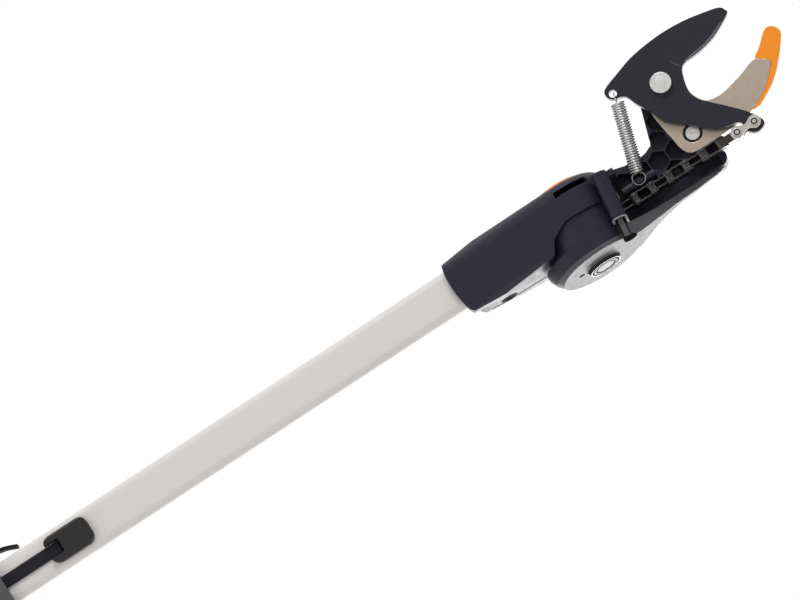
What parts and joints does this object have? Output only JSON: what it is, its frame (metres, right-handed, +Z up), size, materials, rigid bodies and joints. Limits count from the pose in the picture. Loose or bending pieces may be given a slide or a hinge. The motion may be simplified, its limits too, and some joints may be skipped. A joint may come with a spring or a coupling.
{
  "type": "long-reach tree pruner",
  "caption": "Long pole pruner with a chain-driven hook-and-blade head on a swivel, a sliding pull grip and a ball pull knob.",
  "frame": {"origin": "centre of the flat butt of the pull knob", "axes": "+Z up the pole to the jaws, -Y out of the broad front face, +X to the side with the swivel disc"},
  "size_m": [0.1036, 0.0624, 1.5804],
  "materials": {
    "pole_alloy": "satin anodised",
    "black_plastic": "fine grain",
    "dark_plastic": "fine grain",
    "orange_plastic": "satin",
    "soft_grip": "matt",
    "nylon": "satin",
    "bright_steel": "zinc plated",
    "hook_steel": "satin",
    "blade_coat": "satin low-friction coating",
    "chain_steel": "oiled",
    "spring_steel": "zinc plated",
    "ring_rubber": "matt",
    "webbing": "woven"
  },
  "bodies": {
    "pole": {"pole_tube": "pole_alloy", "housing_core": "dark_plastic", "housing_front": "black_plastic", "housing_rear": "black_plastic", "housing_screws": "bright_steel", "cover_screws": "bright_steel", "axle_bolt": "bright_steel", "axle_nut": "bright_steel", "strap_guide": "black_plastic", "low_strap_guide": "black_plastic", "guide_rivets": "bright_steel", "strap_inner": "webbing", "pole_plug": "black_plastic"},
    "button": {"lock_button": "orange_plastic"},
    "winder": {"winding_drum": "nylon"},
    "head": {"head_frame": "black_plastic", "drum_cover": "dark_plastic", "hook_plate": "hook_steel", "hook_tip": "orange_plastic", "pivot_bolt": "bright_steel", "pivot_nut": "bright_steel", "hook_screw": "bright_steel", "screw_ring": "ring_rubber", "spring_post": "black_plastic"},
    "lock": {"lock_pin": "nylon"},
    "blade": {"blade": "blade_coat"},
    "chain": {"chain_anchor": "chain_steel", "chain_outer_plates": "chain_steel", "chain_inner_plates": "chain_steel", "chain_rollers": "chain_steel", "chain_pins": "chain_steel", "chain_yoke": "bright_steel", "end_link_plates": "bright_steel", "end_link_pins": "bright_steel"},
    "spring_low": {"spring_eye": "spring_steel", "spring_coil": "spring_steel"},
    "spring_top": {"spring_hook": "spring_steel"},
    "grip": {"grip_core": "dark_plastic", "grip_sleeve": "soft_grip", "grip_screws": "bright_steel", "grip_tail": "webbing", "strap_outer": "webbing", "low_strap_outer": "webbing"},
    "knob": {"pull_knob": "orange_plastic", "knob_stem": "bright_steel", "low_strap_inner": "webbing"}
  },
  "joints": [
    {"name": "grip_slide", "type": "slide", "parent": "pole", "child": "grip", "axis": [0, 0, -1], "range_m": [0, 0.08], "stiffness_N_per_m": 100, "springref_m": -0.06, "deforming": ["strap_outer", "low_strap_outer"]},
    {"name": "knob_pull", "type": "slide", "parent": "pole", "child": "knob", "axis": [0, 0, -1], "range_m": [0, 0.08], "deforming": ["low_strap_inner"]},
    {"name": "winder_turn", "type": "hinge", "parent": "pole", "child": "winder", "pos_m": [0, 0, 1.408], "axis": [1, 0, 0], "range_deg": [0, 225]},
    {"name": "head_swivel", "type": "hinge", "parent": "pole", "child": "head", "pos_m": [0, 0, 1.408], "axis": [1, 0, 0], "range_deg": [-88, 58]},
    {"name": "blade_close", "type": "hinge", "parent": "head", "child": "blade", "pos_m": [-0.0377, -0.0108, 1.4997], "axis": [0, 1, 0], "range_deg": [0, 40]},
    {"name": "chain_swing", "type": "hinge", "parent": "blade", "child": "chain", "pos_m": [0.0162, -0.0108, 1.5343], "axis": [0, 1, 0], "range_deg": [-34, 0]},
    {"name": "spring_swing", "type": "hinge", "parent": "head", "child": "spring_low", "pos_m": [0.007, -0.0108, 1.4547], "axis": [0, 1, 0], "range_deg": [0, 7]},
    {"name": "spring_stretch", "type": "slide", "parent": "spring_low", "child": "spring_top", "axis": [-0.9565, 0, 0.2917], "range_m": [0, 0.0192], "deforming": ["spring_coil"]},
    {"name": "button_press", "type": "slide", "parent": "pole", "child": "button", "axis": [1, 0, 0], "range_m": [0, 0.0015], "stiffness_N_per_m": 500, "springref_m": -0.004},
    {"name": "lock_slide", "type": "slide", "parent": "head", "child": "lock", "axis": [0.9903, 0, -0.1392], "range_m": [0, 0.0031]}
  ],
  "couplings": [
    {"joint": "knob_pull", "follows": "grip_slide", "ratio": 1},
    {"joint": "winder_turn", "follows": "grip_slide", "rad_per_m": 48.78},
    {"joint": "blade_close", "follows": "grip_slide", "rad_per_m": 8.72},
    {"joint": "chain_swing", "follows": "grip_slide", "rad_per_m": -7.287},
    {"joint": "spring_swing", "follows": "grip_slide", "rad_per_m": 1.442},
    {"joint": "spring_stretch", "follows": "grip_slide", "ratio": 0.2384},
    {"joint": "lock_slide", "follows": "button_press", "ratio": 2}
  ]
}
